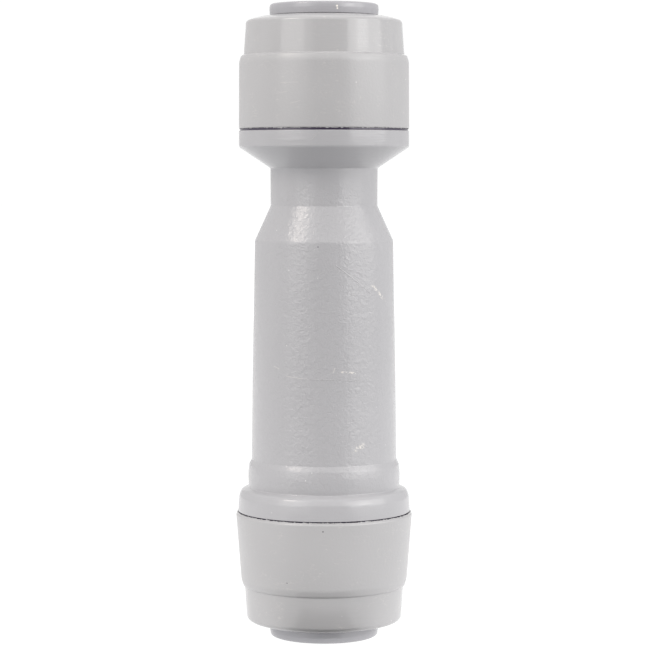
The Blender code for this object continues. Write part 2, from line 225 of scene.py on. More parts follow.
def arc(before, point, after, radius):
    """Points round the corner, with a radius that leaves some of both its edges."""
    back, on = before - point, after - point
    turn = math.pi - back.angle(on)
    if turn < STRAIGHT or radius <= 0:
        return [point]
    reach = min(radius * math.tan(turn / 2), EDGE_SHARE * back.length, EDGE_SHARE * on.length)
    radius = reach / math.tan(turn / 2)
    towards = (back.normalized() + on.normalized()).normalized()
    centre = point + towards * radius / math.cos(turn / 2)
    start = point + back.normalized() * reach - centre
    swing = start.angle_signed(point + on.normalized() * reach - centre)
    steps = max(2, round(turn / ARC_STEP))
    return [centre + Matrix.Rotation(-swing * k / steps, 2) @ start for k in range(steps + 1)]


def smoothed(corners, closed=True):
    """Rounds every corner: a shallow one belongs to a curve and takes all the room it has, and a sharp one
    gets the fillet it states, or the least edge."""
    outline = []
    for i, corner in enumerate(corners):
        point = Vector(corner[:2])
        if not closed and i in (0, len(corners) - 1):
            outline.append(point)
            continue
        before = Vector(corners[i - 1][:2])
        after = Vector(corners[(i + 1) % len(corners)][:2])
        shallow = (point - before).angle(after - point) < SHALLOW
        fillet = corner[2] if len(corner) > 2 else (math.inf if shallow else EDGE_R)
        outline += arc(before, point, after, fillet)
    return outline


def reshaped(node, start, end, outside):
    """The node's CAD outline, with the stretch from the corner nearest start to the one nearest end, along
    the outside, drawn anew."""
    loop = section(node)
    first, last = (
        min(range(len(loop)), key=lambda k: (loop[k] - Vector(spot)).length) for spot in (start, end)
    )
    forward = [loop[(first + k) % len(loop)] for k in range((last - first) % len(loop) + 1)]
    backward = [loop[(first - k) % len(loop)] for k in range((first - last) % len(loop) + 1)]
    inside = min(forward, backward, key=lambda run: sum(spot.x for spot in run) / len(run))
    return [*outside, *reversed(inside[1:-1])]


# Meshes and pieces.

def build_mesh(name, vertices, faces):
    """Closes the seam, turns millimetres into metres and shades smooth."""
    shape = bmesh.new()
    points = [shape.verts.new(spot) for spot in vertices]
    for face in faces:
        shape.faces.new([points[k] for k in face])
    bmesh.ops.remove_doubles(shape, verts=shape.verts, dist=MERGE_DISTANCE)
    bmesh.ops.recalc_face_normals(shape, faces=shape.faces)
    bmesh.ops.scale(shape, vec=(MM, MM, MM), verts=shape.verts)
    mesh = bpy.data.meshes.new(name)
    shape.to_mesh(mesh)
    shape.free()
    mesh.shade_smooth()
    mesh.set_sharp_from_angle(angle=SHARP)
    return mesh


def turned(name, outline, segments=SEGMENTS, span=FULL_TURN, start=0.0, closed=True):
    """The outline spun about Z through the span, capped where it isn't a whole turn."""
    whole = span > FULL_TURN - TINY
    rings = segments if whole else segments + 1
    vertices = []
    for k in range(rings):
        angle = start + span * k / segments
        vertices += [(r * math.cos(angle), r * math.sin(angle), z) for r, z in outline]
    count = len(outline)
    faces = []
    for k in range(segments):
        here, there = k * count, (k + 1) % rings * count
        for i in range(count if closed else count - 1):
            j = (i + 1) % count
            corners = [here + i, there + i, there + j, here + j]
            if outline[i][0] < TINY:
                corners.pop(1)
            elif outline[j][0] < TINY:
                corners.pop(2)
            faces.append(corners)
    if not whole:
        faces += [list(range(count)), list(range(segments * count, rings * count))]
    return build_mesh(name, vertices, faces)


def add_piece(name, mesh, material, body, slot, *nodes):
    """Links the mesh as a piece that rides on the body in place of the CAD nodes."""
    made = bpy.data.objects.new(name, mesh)
    bpy.context.scene.collection.objects.link(made)
    mesh.materials.clear()
    mesh.materials.append(material)
    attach(made, body)
    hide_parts(*nodes)
    return made


def cut(mesh, cutters):
    """The mesh with the cutter meshes taken out of it."""
    block = bpy.data.objects.new(mesh.name, mesh)
    bpy.context.scene.collection.objects.link(block)
    tools = []
    for cutter in cutters:
        tool = bpy.data.objects.new(cutter.name, cutter)
        bpy.context.scene.collection.objects.link(tool)
        boolean = block.modifiers.new(cutter.name, "BOOLEAN")
        boolean.operation = "DIFFERENCE"
        boolean.solver = "EXACT"
        boolean.object = tool
        tools.append(tool)
    graph = bpy.context.evaluated_depsgraph_get()
    result = bpy.data.meshes.new_from_object(block.evaluated_get(graph))
    for used in [block, *tools]:
        bpy.data.objects.remove(used)
    result.shade_smooth()
    result.set_sharp_from_angle(angle=SHARP)
    return result


# Material nodes.

class Nodes:
    """A material's node tree, with short calls for the nodes that the materials use. Its colour and
    roughness are plain ones, until surface() puts varying ones in their place."""

    def __init__(self, name, colour, roughness, **sockets):
        self.material = bpy.data.materials.new(name)
        self.material.use_nodes = True
        self.tree = self.material.node_tree
        self.shader = self.tree.nodes["Principled BSDF"]
        self.shader.inputs["Base Color"].default_value = (*colour, 1.0)
        self.shader.inputs["Roughness"].default_value = roughness
        for socket, value in sockets.items():
            self.shader.inputs[socket.replace("_", " ")].default_value = value
        place = self.add("ShaderNodeTexCoord").outputs["Object"]
        self.place = self.vector("SCALE", place, scale=1 / MM)

    def add(self, kind, **settings):
        made = self.tree.nodes.new(kind)
        for key, value in settings.items():
            setattr(made, key, value)
        return made

    def feed(self, socket, value):
        """A number, colour or other socket goes into the socket."""
        if isinstance(value, bpy.types.NodeSocket):
            self.tree.links.new(value, socket)
        else:
            socket.default_value = value

    def vector(self, operation, first, second=None, scale=None):
        """The result of a vector operation that gives a vector."""
        made = self.add("ShaderNodeVectorMath", operation=operation)
        self.feed(made.inputs[0], first)
        if second is not None:
            self.feed(made.inputs[1], second)
        if scale is not None:
            made.inputs["Scale"].default_value = scale
        return made.outputs[0]

    def calc(self, operation, *values):
        """The result of an operation on one or two numbers."""
        made = self.add("ShaderNodeMath", operation=operation)
        for socket, value in zip(made.inputs, values):
            self.feed(socket, value)
        return made.outputs[0]

    def times(self, first, second):
        return self.calc("MULTIPLY", first, second)

    def ramp(self, value, low, high, to_low=0.0, to_high=1.0):
        """Smoothly from to_low, where the value is low, to to_high, where it is high."""
        made = self.add("ShaderNodeMapRange", interpolation_type="SMOOTHSTEP")
        for key, number in zip(("Value", "From Min", "From Max", "To Min", "To Max"),
                               (value, low, high, to_low, to_high)):
            self.feed(made.inputs[key], number)
        return made.outputs["Result"]

    def noise(self, size, detail=2.0, roughness=0.5, stretch=None, distortion=0.0):
        """Noise whose features are about size mm across."""
        made = self.add("ShaderNodeTexNoise")
        where = self.vector("MULTIPLY", self.place, stretch) if stretch else self.place
        self.feed(made.inputs["Vector"], where)
        made.inputs["Scale"].default_value = 1 / size
        made.inputs["Detail"].default_value = detail
        made.inputs["Roughness"].default_value = roughness
        made.inputs["Distortion"].default_value = distortion
        return made.outputs["Fac"]

    def specks(self, size, share):
        """1 on small scattered grains, 0 elsewhere; share is how much of the way between them one fills."""
        made = self.add("ShaderNodeTexVoronoi", feature="F1")
        self.feed(made.inputs["Vector"], self.place)
        made.inputs["Scale"].default_value = 1 / size
        return self.ramp(made.outputs["Distance"], share, share * SPECK_CORE)

    def hairlines(self, size):
        """1 on short fine rubs that lie mostly round the valve, in scattered patches."""
        wave = self.calc("SUBTRACT", self.noise(size, stretch=HAIRLINE_STRETCH), 0.5)
        line = self.ramp(self.calc("ABSOLUTE", wave), HAIRLINE_WIDTH, 0.0)
        return self.times(line, self.ramp(self.noise(HAIRLINE_PATCH), 0.50, 0.62))

    def mix(self, amount, first, second):
        made = self.add("ShaderNodeMix", data_type="RGBA")
        self.feed(made.inputs["Factor"], amount)
        for key, colour in (("A", first), ("B", second)):
            socket = next(s for s in made.inputs if s.name == key and s.type == "RGBA")
            self.feed(socket, (*colour, 1.0) if isinstance(colour, tuple) else colour)
        return next(s for s in made.outputs if s.type == "RGBA")

    def around(self):
        """The point's angle round from the front, in radians and positive to the right, and its height."""
        split = self.add("ShaderNodeSeparateXYZ")
        self.feed(split.inputs[0], self.place)
        behind = self.times(split.outputs["Y"], -1.0)
        return self.calc("ARCTAN2", split.outputs["X"], behind), split.outputs["Z"]

    def painted_joint_shade(self):
        """1 inside the joints between caps and flanges, where shade is painted into the joint."""
        flat = self.vector("MULTIPLY", self.place, (1.0, 1.0, 0.0))
        length = self.add("ShaderNodeVectorMath", operation="LENGTH")
        self.feed(length.inputs[0], flat)
        _, height = self.around()
        found = []
        for side in SIDES:
            rim, _, face, land_r = joint(side)
            inside = self.ramp(length.outputs["Value"], land_r + JOINT_SHADE_START, land_r + JOINT_SHADE_FULL)
            away = self.calc("ABSOLUTE", self.calc("SUBTRACT", height, (rim + face) / 2))
            reach = abs(rim - face) / 2
            found.append(self.times(inside, self.ramp(away, reach + JOINT_SHADE_FADE, reach)))
        return self.most(*found)

    def scratch(self, start, end, radius, width):
        """1 along the nearly straight scratch from one (degrees, height) place to another."""
        angle, height = self.around()
        here = Vector((math.radians(start[0]) * radius, start[1]))
        run = Vector((math.radians(end[0]) * radius, end[1])) - here
        way = run.normalized()
        x = self.calc("SUBTRACT", self.times(angle, radius), here.x)
        y = self.calc("SUBTRACT", height, here.y)
        travel = self.calc("ADD", self.times(x, way.x), self.times(y, way.y))
        aside = self.calc("SUBTRACT", self.times(x, -way.y), self.times(y, -way.x))
        wander = self.times(self.calc("SUBTRACT", self.noise(WANDER_SIZE), 0.5), WANDER)
        aside = self.calc("ABSOLUTE", self.calc("ADD", aside, wander))
        across = self.ramp(aside, width, width * SCRATCH_CORE)
        middle = self.calc("ABSOLUTE", self.calc("SUBTRACT", travel, run.length / 2))
        inside = self.ramp(middle, run.length / 2, run.length / 2 - 2 * width)
        return self.times(across, inside)

    def scratches(self, marks):
        return self.most(*(self.scratch(*mark) for mark in marks))

    def spot(self, place, radius, size):
        """1 on a small round spot at the (degrees, height) place."""
        angle, height = self.around()
        x = self.calc("SUBTRACT", self.times(angle, radius), math.radians(place[0]) * radius)
        y = self.calc("SUBTRACT", height, place[1])
        squares = self.calc("ADD", self.times(x, x), self.times(y, y))
        return self.ramp(self.calc("SQRT", squares), size, size * SPOT_CORE)

    def most(self, *values):
        """The highest of the values."""
        highest = values[0]
        for value in values[1:]:
            highest = self.calc("MAXIMUM", highest, value)
        return highest

    def bump(self, height, depth, below=None):
        """Raises the surface by height times depth mm."""
        made = self.add("ShaderNodeBump")
        made.inputs["Distance"].default_value = depth * MM
        self.feed(made.inputs["Height"], height)
        if below is not None:
            self.feed(made.inputs["Normal"], below)
        return made.outputs["Normal"]

    def surface(self, normal, colour=None, roughness=None):
        """The finished material, with the normal and any varying colour and roughness on its shader."""
        self.feed(self.shader.inputs["Normal"], normal)
        if colour is not None:
            self.feed(self.shader.inputs["Base Color"], colour)
        if roughness is not None:
            self.feed(self.shader.inputs["Roughness"], roughness)
        return self.material


# Materials.

WHITE_DUST = (0.86, 0.85, 0.83)
DARK_DUST = (0.10, 0.10, 0.11)
SCUFFED = (0.80, 0.76, 0.70)
# Painted shade: the dark colour laid into the joints between caps and flanges.
JOINT_PAINTED_SHADE = (0.050, 0.040, 0.068)

# Where the painted shade in the joints starts and is full, outside the land's radius, and how far it fades
# past the joint.
JOINT_SHADE_START = 0.10
JOINT_SHADE_FULL = 0.03
JOINT_SHADE_FADE = 0.04

# How much of its size a speck, scratch or spot is solid, and how a scratch strays.
SPECK_CORE = 0.6
SCRATCH_CORE = 0.35
SPOT_CORE = 0.5
WANDER = 0.12
WANDER_SIZE = 0.8

# Fine rubs: stretched round the valve, in patches.
HAIRLINE_STRETCH = (0.35, 0.35, 1.0)
HAIRLINE_WIDTH = 0.014
HAIRLINE_PATCH = 2.6

# Radii that the marks lie at.
BARREL_R = 9.1
INLET_SKIRT_R = 10.95

# Marks of handling: the (degrees, height) of both ends, the radius that they lie at, and half the width.
SCUFFS = (
    ((41.0, 46.2), (49.5, 45.2), BARREL_R, 0.26),
    ((48.5, 45.3), (60.0, 43.7), BARREL_R, 0.30),
    ((12.5, 35.2), (27.0, 35.0), BARREL_R, 0.16),
    ((20.5, 25.0), (35.0, 25.9), BARREL_R, 0.45),
)
BODY_SCRATCHES = (
    ((8.8, 35.8), (7.0, 35.0), BARREL_R, 0.10),
    ((-31.6, 34.6), (-16.8, 34.3), BARREL_R, 0.06),
    ((-44.0, 35.8), (-37.5, 35.4), BARREL_R, 0.07),
)
FAINT_SCRATCHES = (
    ((10.0, 48.6), (42.0, 44.9), BARREL_R, 0.09),
    ((-16.8, 34.3), (35.0, 34.0), BARREL_R, 0.05),
    ((-2.7, 65.4), (-8.6, 64.4), FLANGE_R["inlet"], 0.05),
)
CAP_SCRATCHES = (
    ((-22.9, 69.0), (-15.5, 69.35), INLET_SKIRT_R, 0.05),
    ((-33.4, 70.3), (-24.4, 70.5), INLET_SKIRT_R, 0.04),
    ((-30.0, 71.6), (-17.0, 71.7), INLET_SKIRT_R, 0.04),
)

# Specks and a chip: the (degrees, height), the radius that they lie at, and their own.
BODY_SPECKS = (((-4.9, 51.0), BARREL_R, 0.10),)
CAP_SPECKS = (((-0.7, 15.2), 11.2, 0.12), ((-25.6, 8.4), 10.9, 0.10))
COLLET_CHIP = (
    ((13.4, 81.35), COLLET_FLANGE_R, 0.17),
    ((13.8, 81.05), COLLET_FLANGE_R, 0.15),
)

# Heights between which the body's grain comes in below the flange, and its streaks come in above the neck.
GRAIN_START, GRAIN_FULL = 61.0, 56.0
STREAKS_LEAST, STREAKS_FULL = 59.0, 62.0
FAINT_SHARE = 0.2      # of the grain below the seam, and of the streaks below the flange
SEAM_FADE = 0.6
POLISH_FADE = 0.3


def moulded(nodes, colour, marks=None, dark_spots=()):
    """A moulded plastic's colour: faint flow clouds, light dust and dark specks, and any scratches."""
    cloud = nodes.ramp(nodes.noise(size=9.0, detail=1.0), 0.25, 0.75)
    paler = tuple(min(1.0, value * 1.03) for value in colour)
    shade = nodes.mix(cloud, colour, paler)
    dusty = nodes.ramp(nodes.noise(size=3.1), 0.5, 0.6)
    dust = nodes.times(nodes.specks(size=1.7, share=0.05), dusty)
    shade = nodes.mix(nodes.times(dust, 0.6), shade, WHITE_DUST)
    if marks is not None:
        shade = nodes.mix(marks, shade, SCUFFED)
    for spot in dark_spots:
        shade = nodes.mix(nodes.spot(*spot), shade, DARK_DUST)
    return shade


def body_relief(nodes, marks, faint):
    """The body's normal: a grain on barrel and cones, streaks round the flange, and raised marks."""
    _, height = nodes.around()
    streaks = nodes.noise(size=0.5, detail=3.0, stretch=(0.12, 0.12, 1.0))
    streaked = nodes.ramp(height, STREAKS_LEAST, STREAKS_FULL, FAINT_SHARE, 1.0)
    normal = nodes.bump(nodes.times(streaks, streaked), depth=0.045)
    grain = nodes.noise(size=0.55, roughness=0.6, distortion=0.5)
    above_seam = nodes.ramp(height, SEAM - SEAM_FADE, SEAM + SEAM_FADE, FAINT_SHARE)
    grained = nodes.times(nodes.ramp(height, GRAIN_START, GRAIN_FULL), above_seam)
    normal = nodes.bump(nodes.times(grain, grained), depth=0.075, below=normal)
    normal = nodes.bump(marks, depth=0.02, below=normal)
    return nodes.bump(faint, depth=0.020, below=normal)


def body_plastic():
    """Cool grey acetal with a fine leathery grain, and the scuffs of handling on the barrel."""
    colour = (0.386, 0.382, 0.396)
    nodes = Nodes("body_plastic", colour, roughness=0.18)
    flecks = nodes.ramp(nodes.noise(size=0.34, roughness=0.6), 0.46, 0.56)
    scuffs = nodes.times(nodes.scratches(SCUFFS), flecks)
    clean = nodes.scratches(BODY_SCRATCHES)
    faint = nodes.scratches(FAINT_SCRATCHES)
    marks = nodes.most(nodes.times(scuffs, 0.6), nodes.times(clean, 0.25), nodes.times(faint, 0.05))
    rough = nodes.ramp(nodes.noise(size=2.2), 0.3, 0.7, to_low=0.18, to_high=0.22)
    # Painted shade darkens the joint between the flange and its cap.
    shade = nodes.mix(nodes.painted_joint_shade(), moulded(nodes, colour, marks, BODY_SPECKS), JOINT_PAINTED_SHADE)
    return nodes.surface(body_relief(nodes, marks, faint), shade, rough)


def cap_plastic():
    """Light grey acetal: polished noses, duller skirts, light tool lines and fine rubs."""
    colour = (0.400, 0.395, 0.402)
    nodes = Nodes("cap_plastic", colour, roughness=0.28)
    clean = nodes.times(nodes.scratches(CAP_SCRATCHES), 0.18)
    marks = nodes.most(clean, nodes.times(nodes.hairlines(size=0.7), 0.16))
    _, height = nodes.around()
    top_step, foot_step = (port(side)(CAP_STEP) for side in SIDES)
    polished = nodes.most(
        nodes.ramp(height, top_step - POLISH_FADE, top_step),
        nodes.ramp(height, foot_step + POLISH_FADE, foot_step),
    )
    lines = nodes.noise(size=0.35, detail=3.0, stretch=(0.10, 0.10, 1.0))
    grain = nodes.times(nodes.noise(size=0.34), nodes.ramp(polished, 0.0, 1.0, to_low=1.0, to_high=0.5))
    normal = nodes.bump(nodes.most(nodes.times(lines, 0.7), grain), depth=0.022)
    cloudy = nodes.ramp(nodes.noise(size=2.5, detail=1.0), 0.3, 0.7, to_low=0.286, to_high=0.32)
    rough = nodes.calc("SUBTRACT", cloudy, nodes.times(polished, 0.15))
    # Painted shade darkens the joint between the cap and its flange.
    shade = nodes.mix(nodes.painted_joint_shade(), moulded(nodes, colour, marks, CAP_SPECKS), JOINT_PAINTED_SHADE)
    return nodes.surface(normal, shade, rough)


def collet_plastic():
    """Cool grey acetal, about as glossy as the body, with a chip on the inlet collet's edge."""
    colour = (0.350, 0.346, 0.366)
    nodes = Nodes("collet_plastic", colour, roughness=0.2)
    normal = nodes.bump(nodes.noise(size=0.6), depth=0.004)
    rough = nodes.ramp(nodes.noise(size=1.4), 0.3, 0.7, to_low=0.18, to_high=0.24)
    chip = nodes.most(*(nodes.spot(*spot) for spot in COLLET_CHIP))
    return nodes.surface(normal, moulded(nodes, colour, chip), rough)


def insert_plastic(name, colour):
    """Natural acetal of the inner pieces, with fine turning marks."""
    nodes = Nodes(name, colour, roughness=0.36)
    rings = nodes.noise(size=0.22, stretch=(0.05, 0.05, 1.0))
    normal = nodes.bump(rings, depth=0.003)
    normal = nodes.bump(nodes.noise(size=0.3), depth=0.004, below=normal)
    rough = nodes.ramp(nodes.noise(size=0.8), 0.3, 0.7, to_low=0.32, to_high=0.42)
    return nodes.surface(normal, moulded(nodes, colour), rough)


def seal_rubber():
    """Black nitrile with a dull moulded skin and a trace of grease."""
    colour = (0.018, 0.018, 0.020)
    greyer = (0.035, 0.034, 0.034)
    nodes = Nodes("seal_rubber", colour, roughness=0.5)
    normal = nodes.bump(nodes.noise(size=0.10, detail=3.0), depth=0.004)
    shade = nodes.mix(nodes.ramp(nodes.noise(size=0.9, detail=3.0), 0.45, 0.75), colour, greyer)
    rough = nodes.ramp(nodes.noise(size=1.1), 0.35, 0.65, to_low=0.32, to_high=0.58)
    return nodes.surface(normal, shade, rough)


def spring_steel():
    """Bright stainless with a fine grain."""
    colour, darker, paler = (0.60, 0.60, 0.59), (0.52, 0.52, 0.52), (0.66, 0.66, 0.65)
    nodes = Nodes("spring_steel", colour, roughness=0.25, Metallic=1.0)
    normal = nodes.bump(nodes.noise(size=0.05), depth=0.001)
    shade = nodes.mix(nodes.noise(size=0.6, detail=3.0), darker, paler)
    rough = nodes.ramp(nodes.noise(size=0.4), 0.3, 0.7, to_low=0.18, to_high=0.26)
    return nodes.surface(normal, shade, rough)


# Housing pieces.

def port(side):
    """What turns a depth below that side's collet face into a height."""
    low, high = cad_box[0].z / MM, cad_box[1].z / MM
    return (lambda depth: high - depth) if side == "inlet" else (lambda depth: low + depth)


def at_port(side, corners):
    """Corners (radius, depth, fillet) of a port, as corners (radius, height, fillet)."""
    height = port(side)
    return [(corner[0], height(corner[1]), *corner[2:]) for corner in corners]


def joint(side):
    """Heights of the cap's rim, of the land and of the flange's face, and the land's radius."""
    height = port(side)
    rim = JOINT_RIM[side]
    return height(rim), height(rim + LAND_GAP), height(rim + JOINT_GAP[side]), FLANGE_R[side] - GROOVE_DEPTH


def flange_top(side):
    """The land and the groove's floor, from the spigot outwards."""
    _, land, face, land_r = joint(side)
    return [(SPIGOT_R, land, 0.1), (land_r, land, 0.04), (land_r, face, 0.04)]


def valve_body_mesh():
    """Flange, steep cone, neck, second cone, drafted barrel and bead, round the CAD's own bores."""
    flange_r = FLANGE_R["inlet"]
    outside = [
        *flange_top("inlet"),
        (flange_r, joint("inlet")[2], 0.14),
        (flange_r, 63.62, 0.40),             # foot of the flange, where the steep cone starts
        (6.95, 60.92, 0.25),                 # neck
        (6.91, 56.08, 0.35),
        (8.98, 51.55, 1.0),                  # barrel, which widens downwards
        (9.10, 43.9),
        (9.28, 36.1),
        (9.43, 23.15, 0.25),
        (9.76, 22.5, 0.8),                   # bead
        (9.86, 21.6, 1.2),
        (9.88, 20.9),
        (9.84, SEAM + SEAM_GAP / 2, 0.0),    # weld
    ]
    face = port("inlet")(FLANGE_FACE)
    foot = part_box("valve_body")[0].z / MM
    corners = reshaped("valve_body", (SPIGOT_R, face), (CHAMBER_MOUTH_R, foot), outside)
    return turned("valve_body_shell", smoothed(corners))


def outlet_body_mesh():
    """The flange and its rounded shoulder, up to the weld with the barrel."""
    face = port("outlet")(FLANGE_FACE)
    top = SEAM - SEAM_GAP / 2
    outside = [
        *flange_top("outlet"),
        (FLANGE_R["outlet"], joint("outlet")[2], 0.10),
        (11.08, 18.35, 0.9),                 # shoulder
        (10.75, 19.18, 0.7),
        (9.86, 19.50, 0.30),
        (9.84, top, 0.0),                    # weld
        (PLUG_R, top),
    ]
    corners = reshaped("outlet_body", (SPIGOT_R, face), (PLUG_R, SEAM), outside)
    return turned("outlet_body_shell", smoothed(corners))


def cap_mesh(side):
    """Slightly domed end, drafted nose, rounded shoulder and drafted skirt."""
    shoulder = SHOULDER_R[side]
    rim = JOINT_RIM[side]
    outside = at_port(side, [
        (CAP_MOUTH_R, CAP_FACE, 0.15),
        (7.9, CAP_FACE + 0.02),              # dome
        (9.0, CAP_FACE + 0.28),
        (10.07, CAP_FACE + 0.62, NOSE_FILLET[side]),
        (NOSE_R, CAP_STEP, 0.10),
        (shoulder - 0.28, CAP_STEP + 0.06, 0.25),
        (shoulder - 0.02, CAP_STEP + 0.85, 2.0),
        (JOINT_R[side], rim, RIM_FILLET[side]),
        (CAP_BORE_R, rim, 0.10),
    ])
    ends = [(outside[0][0], outside[0][1]), (CAP_BORE_R, port(side)(CAP_RIM))]
    corners = reshaped(f"{side}_cap", *ends, outside)
    return turned(f"{side}_cap_shell", smoothed(corners))


def flash_mesh(side):
    """The ragged edge left on the cap's rim by the mould, in the gap over the flange."""
    draws = random.Random(side)
    height = port(side)
    edge = JOINT_R[side] - FLASH_INSET[side]
    vertices, ragged = [], FLASH_START
    for k in range(FLASH_STEPS):
        drawn = FLASH_LEAST + FLASH_MOST * draws.random() ** 3
        ragged = FLASH_CARRY * ragged + (1 - FLASH_CARRY) * drawn
        angle = FULL_TURN * k / FLASH_STEPS
        profile = (
            (edge - FLASH_FOOT_WIDTH, -FLASH_ROOT),
            (edge, -FLASH_ROOT),
            (edge - FLASH_TIP_OUTER, ragged),
            (edge - FLASH_TIP_INNER, ragged),
        )
        for r, rise in profile:
            vertices.append((r * math.cos(angle), r * math.sin(angle), height(JOINT_RIM[side] + rise)))
    faces = []
    for k in range(FLASH_STEPS):
        here, there = 4 * k, (k + 1) % FLASH_STEPS * 4
        faces += [[here + i, there + i, there + (i + 1) % 4, here + (i + 1) % 4] for i in range(4)]
    return build_mesh(f"{side}_cap_flash", vertices, faces)


def finger_cutter(side, number):
    """A bar right across the collet, from where its slots start to past its end."""
    start, end = (port(side)(depth) for depth in (SLOT_START, COLLET_END + CUT_RUN_OUT))
    shape = bmesh.new()
    bmesh.ops.create_cube(shape, size=MM)
    bmesh.ops.scale(shape, vec=(CUT_LENGTH, SLOT_WIDTH, abs(end - start)), verts=shape.verts)
    bmesh.ops.translate(shape, vec=(0, 0, (start + end) / 2 * MM), verts=shape.verts)
    turn = Matrix.Rotation(math.pi / CUTS * (number + 0.5), 3, "Z")
    bmesh.ops.rotate(shape, verts=shape.verts, cent=(0, 0, 0), matrix=turn)
    cutter = bpy.data.meshes.new(f"{side}_finger_slot_{number}")
    shape.to_mesh(cutter)
    shape.free()
    return cutter


def collet_mesh(side):
    """The flanged sleeve, with its fingers parted by cuts that run right across it."""
    height = port(side)
    outside = at_port(side, [
        (COLLET_FACE_R, 0.0, 0.2),
        (COLLET_FLANGE_R - 0.08, 0.0, 0.38),
        (COLLET_FLANGE_R, 0.72, 0.05),
        (COLLET_FLANGE_R - 0.07, COLLET_REST, 0.10),
        (COLLET_SLEEVE_R, COLLET_REST, 0.10),
    ])
    ends = [(COLLET_FLANGE_R - 0.45, height(0)), (COLLET_SLEEVE_R, height(COLLET_FLANGE))]
    corners = reshaped(f"{side}_collet", *ends, outside)
    whole = turned(f"{side}_collet_sleeve", smoothed(corners), SEGMENTS_COLLET)
    return cut(whole, [finger_cutter(side, number) for number in range(CUTS)])


def tooth_mesh(side, number):
    """A thin steel blade bent round inside one finger."""
    low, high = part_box(f"{side}_tooth_{number}")
    middle = math.atan2(low.y + high.y, low.x + high.x)
    outline = smoothed(section(f"{side}_tooth_1"))
    start = middle - TOOTH_SPAN / 2
    return turned(f"{side}_grip_tooth_{number}", outline, TOOTH_SEGMENTS, TOOTH_SPAN, start)


# Inner pieces.

def seal_mesh(node):
    """A round-section ring that fills the CAD ring's box."""
    low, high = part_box(node)
    radius = (high.z - low.z) / 2 / MM
    middle = Vector((high.x / MM - radius, (low.z + high.z) / 2 / MM))
    angles = [FULL_TURN * k / SEAL_STEPS for k in range(SEAL_STEPS)]
    outline = [middle + radius * Vector((math.cos(a), math.sin(a))) for a in angles]
    return turned(f"{node}_ring", outline, SEGMENTS_SMALL)


def cage_mesh():
    """The windowed cup."""
    whole = turned("cage_cup", smoothed(section("cartridge_cage")), SEGMENTS_SMALL)
    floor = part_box("cartridge_cage")[0].z / MM
    low, high = floor - WINDOW_BELOW, floor + WINDOW_ABOVE
    window = [(WINDOW_INNER_R, low), (WINDOW_OUTER_R, low), (WINDOW_OUTER_R, high), (WINDOW_INNER_R, high)]
    cutters = []
    for k in range(WINDOWS):
        start = FULL_TURN / WINDOWS * (k + 0.5) - WINDOW_SPAN / 2
        cutters.append(turned(f"cage_window_{k}", window, WINDOW_SEGMENTS, WINDOW_SPAN, start))
    return cut(whole, cutters)


def spring_route():
    """The middle of the wire: a coil that is open between a closed turn at each end."""
    low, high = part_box("poppet_spring")
    bottom, top = low.z / MM + WIRE / 2, high.z / MM - WIRE / 2
    coil_r = high.x / MM - WIRE / 2
    open_turns = SPRING_TURNS - CLOSED_TURNS
    open_pitch = (top - bottom - CLOSED_TURNS * CLOSED_PITCH) / open_turns
    route = []
    for k in range(round(SPRING_TURNS * SPRING_STEPS) + 1):
        turn = k / SPRING_STEPS
        active = min(max(turn - 1, 0), open_turns)
        height = bottom + active * open_pitch + (turn - active) * CLOSED_PITCH
        angle = FULL_TURN * turn
        route.append((coil_r * math.cos(angle), coil_r * math.sin(angle), height))
    return route


def spring_mesh():
    """Drawn wire along the coil."""
    curve = bpy.data.curves.new("poppet_spring_wire", "CURVE")
    curve.dimensions = "3D"
    curve.bevel_depth = WIRE / 2 * MM
    curve.bevel_resolution = WIRE_ROUNDNESS
    curve.use_fill_caps = True
    spline = curve.splines.new("POLY")
    route = spring_route()
    spline.points.add(len(route) - 1)
    for point, (x, y, z) in zip(spline.points, route):
        point.co = (x * MM, y * MM, z * MM, 1)
    carrier = bpy.data.objects.new("wire_carrier", curve)
    bpy.context.scene.collection.objects.link(carrier)
    graph = bpy.context.evaluated_depsgraph_get()
    mesh = bpy.data.meshes.new_from_object(carrier.evaluated_get(graph))
    bpy.data.objects.remove(carrier)
    mesh.shade_smooth()
    mesh.set_sharp_from_angle(angle=WIRE_SHARP)
    return mesh


def build_port(side, materials):
    """Everything at one end of the valve."""
    gripper = f"{side}_gripper"
    add_piece(f"{side}_cap_shell", cap_mesh(side), materials["cap"], "housing", "cap_plastic", f"{side}_cap")
    add_piece(f"{side}_cap_flash", flash_mesh(side), materials["cap"], "housing", "cap_plastic")
    add_piece(f"{side}_collet_sleeve", collet_mesh(side), materials["collet"], gripper, "collet_plastic",
              f"{side}_collet")
    for number in range(1, TEETH + 1):
        add_piece(f"{side}_grip_tooth_{number}", tooth_mesh(side, number), materials["steel"], gripper,
                  "spring_steel", f"{side}_tooth_{number}")
    for seal in ("outer_seal", "inner_seal"):
        node = f"{side}_{seal}"
        add_piece(f"{node}_ring", seal_mesh(node), materials["rubber"], "housing", "seal_rubber", node)
    for ring in ("seal_retainer", "seal_spacer"):
        node = f"{side}_{ring}"
        mesh = turned(f"{node}_ring", smoothed(section(node)), SEGMENTS_SMALL)
        add_piece(f"{node}_ring", mesh, materials["insert"], "housing", "insert_plastic", node)


